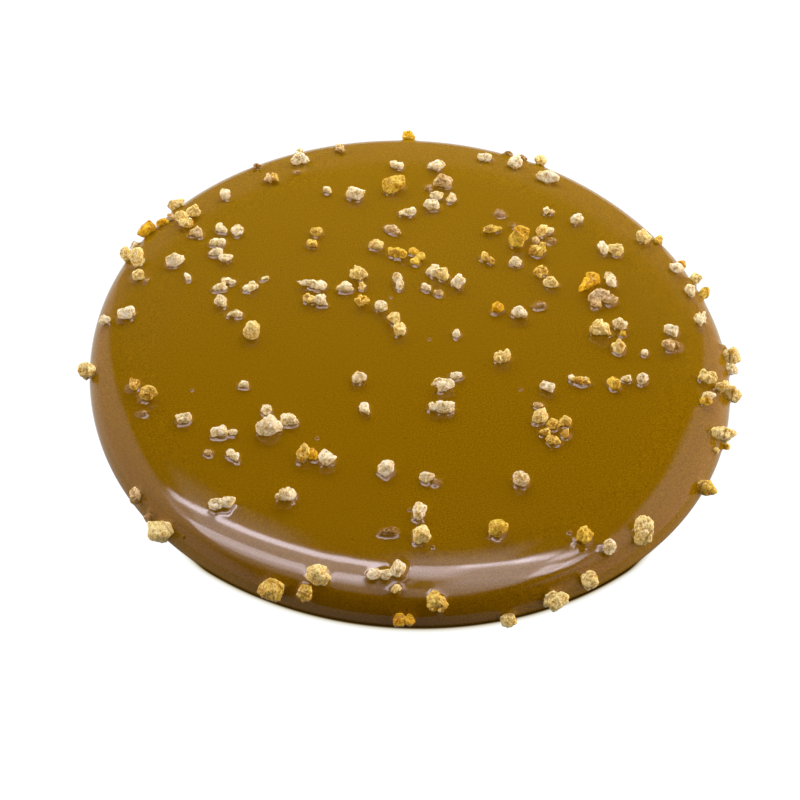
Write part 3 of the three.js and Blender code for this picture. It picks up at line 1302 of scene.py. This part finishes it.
@dataclass(frozen=True)
class Softbox:
    """The softbox face that the gloss mirrors: a dim cloth with two tubes behind it.

    It hangs face down over the disc, and bows a little along its length. Its front part
    fades away. The patches are measured from the middle of the cloth.
    """

    middle: tuple[float, float, float] = (-12.0, 23.0, 180.0)
    turn: float = -12.5
    half: tuple[float, float] = (116.0, 94.0)
    bow: float = 0.0009
    tint: str = "#F7EFFF"
    streak_width: float = 5.5
    streak_length: float = 160.0
    streak_levels: tuple[float, float] = (0.7, 1.35)
    patches: tuple[Glow, ...] = (
        # the cloth itself
        Glow((-94, 30), (-4, 31), 2.9, (12, 4, 5)),
        Glow((18, 80), (-50, 31), 3.5, (16, 46, 5)),
        Glow((-8, 34), (-4, 30), 4.5, (12, 24, 5)),
        Glow((60, 84), (7, 28), 1.4, (6, 6, 5)),
        # the far tube, dimmer in the middle
        Glow((-106, 12), (16, 31), 11.0, (14, 6, 4)),
        Glow((18, 54), (20, 31), 11.5, (9, 6, 4)),
        Glow((41, 66), (20, 33), 11.5, (9, 6, 4)),
        # the near tube on the left, and again on the right
        Glow((-101, 16), (-40, -2), 10.0, (9, 30, 4)),
        Glow((65, 88), (-15, 12), 8.6, (5, 7, 5)),
        Glow((80, 99), (-9, 17), 7.5, (6, 8, 5)),
        Glow((62, 84), (15, 28), 8.5, (6, 5, 5)),
        # the glow of the cloth's near frame, and the far frame's
        Glow((-108, 75), (-92, -20), 1.3, (30, 64, 12)),
        Glow((-116, -86), (-16, 24), 1.6, (8, 10, 6)),
        Glow((-92, -22), (30, 68), 0.8, (16, 4, 26)),
        Glow((-6, 44), (30, 62), 1.7, (12, 3, 30)),
    )

    def build(self) -> None:
        """Make the cloth, which shows only in gloss."""
        wide, deep = self.half
        corners = np.array([(-wide, -deep, 0), (wide, -deep, 0), (wide, deep, 0), (-wide, deep, 0)])
        cloth = mesh_object("softbox", corners * MM, [(3, 2, 1, 0)])
        cloth.location = Vector(self.middle) * MM
        cloth.rotation_euler = (0, 0, math.radians(self.turn))
        cloth.data.materials.append(self.finish())
        show_only_in_gloss(cloth)

    def finish(self) -> bpy.types.Material:
        """Thin white nylon, lit from behind by two tubes; the room shows past its glow."""
        material, tree = new_material("softbox_nylon")
        place = add_node(tree, "TexCoord").outputs["Object"]
        in_mm = add_node(tree, "VectorMath", (place, (1 / MM,) * 3), operation="MULTIPLY")
        across, along, _ = add_node(tree, "SeparateXYZ", (in_mm,)).outputs
        square = add_node(tree, "Math", (across, across), operation="MULTIPLY")
        bowed = add_node(tree, "Math", (square, self.bow), operation="MULTIPLY")
        straight = add_node(tree, "Math", (along, bowed), operation="ADD")
        total: Any = 0.0
        for patch in self.patches:
            level = self.patch_level(tree, across, straight.outputs[0], patch)
            total = add_node(tree, "Math", (total, level), operation="ADD")
        lengthwise = add_node(tree, "Math", (across, 1 / self.streak_length), operation="MULTIPLY")
        crosswise = add_node(tree, "Math", (straight, 1 / self.streak_width), operation="MULTIPLY")
        drawn_out = add_node(tree, "CombineXYZ", (lengthwise, crosswise))
        streaks = add_node(tree, "TexNoise", {"Vector": drawn_out, "Scale": 1.0, "Detail": 2.0})
        uneven = add_node(tree, "MapRange", (streaks, 0.25, 0.75, *self.streak_levels), **SOFTLY)
        strength = add_node(tree, "Math", (total, uneven), operation="MULTIPLY")
        glow = add_node(tree, "Emission", (linear(self.tint), strength))
        past = add_node(tree, "BsdfTransparent")
        both = add_node(tree, "AddShader", (past, glow))
        add_node(tree, "OutputMaterial", (both,))
        return material

    @staticmethod
    def patch_level(
        tree: bpy.types.NodeTree,
        across: bpy.types.NodeSocket,
        along: bpy.types.NodeSocket,
        patch: Glow,
    ) -> bpy.types.Node:
        """One patch's level.

        Args:
            tree: The cloth's node tree.
            across: Millimetres along the cloth's length.
            along: Millimetres across it.
            patch: The patch.

        Returns:
            The node that gives the level.
        """
        start, end = patch.ends
        near, far = patch.edges
        soft_end, soft_near, soft_far = patch.soft
        level: Any = patch.level
        for place, *fade in (
            (across, start, start + soft_end, 0.0, 1.0),
            (across, end - soft_end, end, 1.0, 0.0),
            (along, near, near + soft_near, 0.0, 1.0),
            (along, far - soft_far, far, 1.0, 0.0),
        ):
            share = add_node(tree, "MapRange", (place, *fade), **SOFTLY)
            level = add_node(tree, "Math", (level, share), operation="MULTIPLY")
        return level


class Side(Enum):
    """The side of the disc on which a wall stands, as the sign of the way across."""

    RIGHT = 1.0
    LEFT = -1.0


@dataclass(frozen=True)
class PaleWall:
    """A pale wall at one side, in the directions in which the rim mirrors it.

    A direction has a share outward, to this wall's side, and a share along, to the back. The
    wall begins over `edge` outward. Its level is the higher of two, which fade in over a
    stretch of the directions along and outward: each has its start, its end and its level.
    Over `far` along, the level falls to `far_share` of that.
    """

    side: Side
    edge: tuple[float, float]
    along: tuple[float, float, float]
    outward: tuple[float, float, float]
    far: tuple[float, float] = (0.45, 0.7)
    far_share: float = 1.0

    def level(
        self,
        tree: bpy.types.NodeTree,
        across: bpy.types.NodeSocket,
        along: bpy.types.NodeSocket,
        drawn_back: bpy.types.Node,
    ) -> bpy.types.Node:
        """How pale the wall is in each direction.

        Args:
            tree: The world's node tree.
            across: The direction's share to the right.
            along: Its share to the back.
            drawn_back: How much further out the wall stands there.

        Returns:
            The node that gives the level.
        """
        outward = add_node(tree, "Math", (across, self.side.value), operation="MULTIPLY")
        inside = add_node(tree, "Math", (outward, drawn_back), operation="SUBTRACT")
        edge = add_node(tree, "MapRange", (inside, *self.edge), **SOFTLY)
        far = add_node(tree, "MapRange", (along, *self.far, 1.0, self.far_share), **SOFTLY)
        parts = []
        for place, (start, end, level) in ((along, self.along), (outward, self.outward)):
            parts.append(add_node(tree, "MapRange", (place, start, end, 0.0, level), **SOFTLY))
        pale = add_node(tree, "Math", parts, operation="MAXIMUM")
        for share in (edge, far):
            pale = add_node(tree, "Math", (pale, share), operation="MULTIPLY")
        return pale


@dataclass(frozen=True)
class Surroundings:
    """What a gloss mirrors past the lamps: pale side walls and a low grey wall behind.

    The front is dark. Past `parting` along, the side walls stand further out, by `slope` of
    the way. They end at the `ceiling` and fade into the `floor`, and the wall behind fades in
    over `behind` and out over `skirt`. The rest of each is its level there.
    """

    walls: tuple[PaleWall, ...] = (
        PaleWall(Side.RIGHT, (0.31, 0.36), (-0.4, -0.05, 1.2), (0.48, 0.8, 0.85), far_share=0.78),
        PaleWall(Side.LEFT, (0.365, 0.42), (-0.3, 0.2, 0.98), (0.52, 0.8, 0.72)),
    )
    tint: str = "#FFDCE8"
    parting: float = 0.55
    slope: float = 0.66
    ceiling: tuple[float, float, float, float] = (0.9, 0.95, 1.0, 0.0)
    floor: tuple[float, float, float, float] = (-0.08, 0.02, 0.15, 1.0)
    behind: tuple[float, float] = (0.0, 0.3)
    skirt: tuple[float, float, float, float] = (0.5, 0.62, 0.3, 0.0)

    def build(self) -> None:
        """Make them as the world's light."""
        world = bpy.data.worlds.new("studio")
        world.use_nodes = True
        bpy.context.scene.world = world
        tree = world.node_tree
        tree.nodes.clear()
        toward = add_node(tree, "TexCoord").outputs["Generated"]
        across, along, up = add_node(tree, "SeparateXYZ", (toward,)).outputs
        past = add_node(tree, "Math", (along, self.parting), operation="SUBTRACT")
        beyond = add_node(tree, "Math", (past, 0.0), operation="MAXIMUM")
        drawn_back = add_node(tree, "Math", (beyond, self.slope), operation="MULTIPLY")
        sides = [wall.level(tree, across, along, drawn_back) for wall in self.walls]
        low = add_node(tree, "MapRange", (up, *self.ceiling), **SOFTLY)
        above = add_node(tree, "MapRange", (up, *self.floor), **SOFTLY)
        back = add_node(tree, "MapRange", (along, *self.behind), **SOFTLY)
        skirt = add_node(tree, "MapRange", (up, *self.skirt), **SOFTLY)
        walls = add_node(tree, "Math", sides, operation="ADD")
        standing = add_node(tree, "Math", (walls, above), operation="MULTIPLY")
        grey = add_node(tree, "Math", (back, skirt), operation="MULTIPLY")
        brighter = add_node(tree, "Math", (standing, grey), operation="MAXIMUM")
        pale = add_node(tree, "Math", (brighter, low), operation="MULTIPLY")
        white = add_node(tree, "Background", (linear(self.tint), pale))
        add_node(tree, "OutputWorld", (white,))


@dataclass
class Studio:
    """A white floor, soft lamps, pale side walls and the camera.

    The floor's rings run at these offsets from the disc's outline. The camera aims a little to
    the left of the disc's middle and below it.
    """

    section: PourSection
    distance: float = 350.0
    elevation: float = 49.2
    focal: float = 125.4
    aim_right: float = -0.95
    aim_up: float = -3.62
    sheet_rings: tuple[float, ...] = (-38.0, -0.8, 0.0, 0.25, 0.5, 0.8, 1.2, 2.0, 30.0, 2000.0)
    sheet_steps: int = 360

    def build(self, disc: bpy.types.Object, crumbs: list[bpy.types.Object]) -> None:
        """Make the floor, the lamps, the surroundings and the camera.

        Args:
            disc: The chocolate disc.
            crumbs: The pieces of crumbs.
        """
        floor = self.floor_sheet("floor", OpalAcrylic().build())
        floor.visible_diffuse = False
        floor.visible_glossy = False
        show_only_in_gloss(self.floor_sheet("floor_sheen", ShadedAcrylic().build()))
        Lamps().build(disc, crumbs)
        Softbox().build()
        Surroundings().build()
        self.build_camera()
        bpy.context.scene.view_settings.view_transform = "Standard"

    def floor_sheet(self, name: str, finish: bpy.types.Material) -> bpy.types.Object:
        """Make a sheet under the disc whose points know how far they lie clear of it.

        Args:
            name: The sheet's name.
            finish: Its material.

        Returns:
            The sheet, with the attribute "clear" in millimetres.
        """
        steps = self.sheet_steps
        rings = [self.section.outline(offset, steps) for offset in self.sheet_rings]
        flat = np.concatenate(rings) * MM
        around = np.arange(steps)
        following = (around + 1) % steps
        faces = [
            np.column_stack([a + around, b + around, b + following, a + following])
            for a, b in ((k * steps, (k + 1) * steps) for k in range(len(rings) - 1))
        ]
        points = np.column_stack([flat, np.zeros(len(flat))])
        sheet = mesh_object(name, points, np.concatenate(faces).tolist())
        clear = sheet.data.attributes.new("clear", "FLOAT", "POINT")
        clear.data.foreach_set("value", np.repeat(self.sheet_rings, steps))
        sheet.data.materials.append(finish)
        return sheet

    def build_camera(self) -> None:
        """Make the camera, which looks down on the disc from the front."""
        tilt = math.radians(self.elevation)
        back = Vector((0, -math.cos(tilt), math.sin(tilt)))
        up = Vector((0, math.sin(tilt), math.cos(tilt)))
        data = bpy.data.cameras.new("camera")
        data.lens = self.focal
        data.clip_start = 0.01
        data.dof.use_dof = False
        camera = bpy.data.objects.new("camera", data)
        spot = Vector((self.section.middle[0] + self.aim_right, self.section.middle[1], 0))
        camera.location = (spot + up * self.aim_up + back * self.distance) * MM
        camera.rotation_euler = (math.pi / 2 - tilt, 0, 0)
        bpy.context.scene.collection.objects.link(camera)
        bpy.context.scene.camera = camera


# ---- the whole ------------------------------------------------------------


def main() -> None:
    """Build the tuile and its studio."""
    logging.basicConfig(level=logging.INFO, format="%(name)s: %(message)s")
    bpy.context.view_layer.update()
    section = PourSection.fitted_to(*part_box(DISC_NODE))
    LOG.info("mean radius %.2f, thickness %.2f", section.radius, section.thickness)
    sprinkle = Sprinkle(section)
    crumbs = sprinkle.build()
    disc = PouredDisc(section, sprinkle, crumbs).build()
    Studio(section).build(disc, crumbs)


if __name__ == "__main__":
    main()
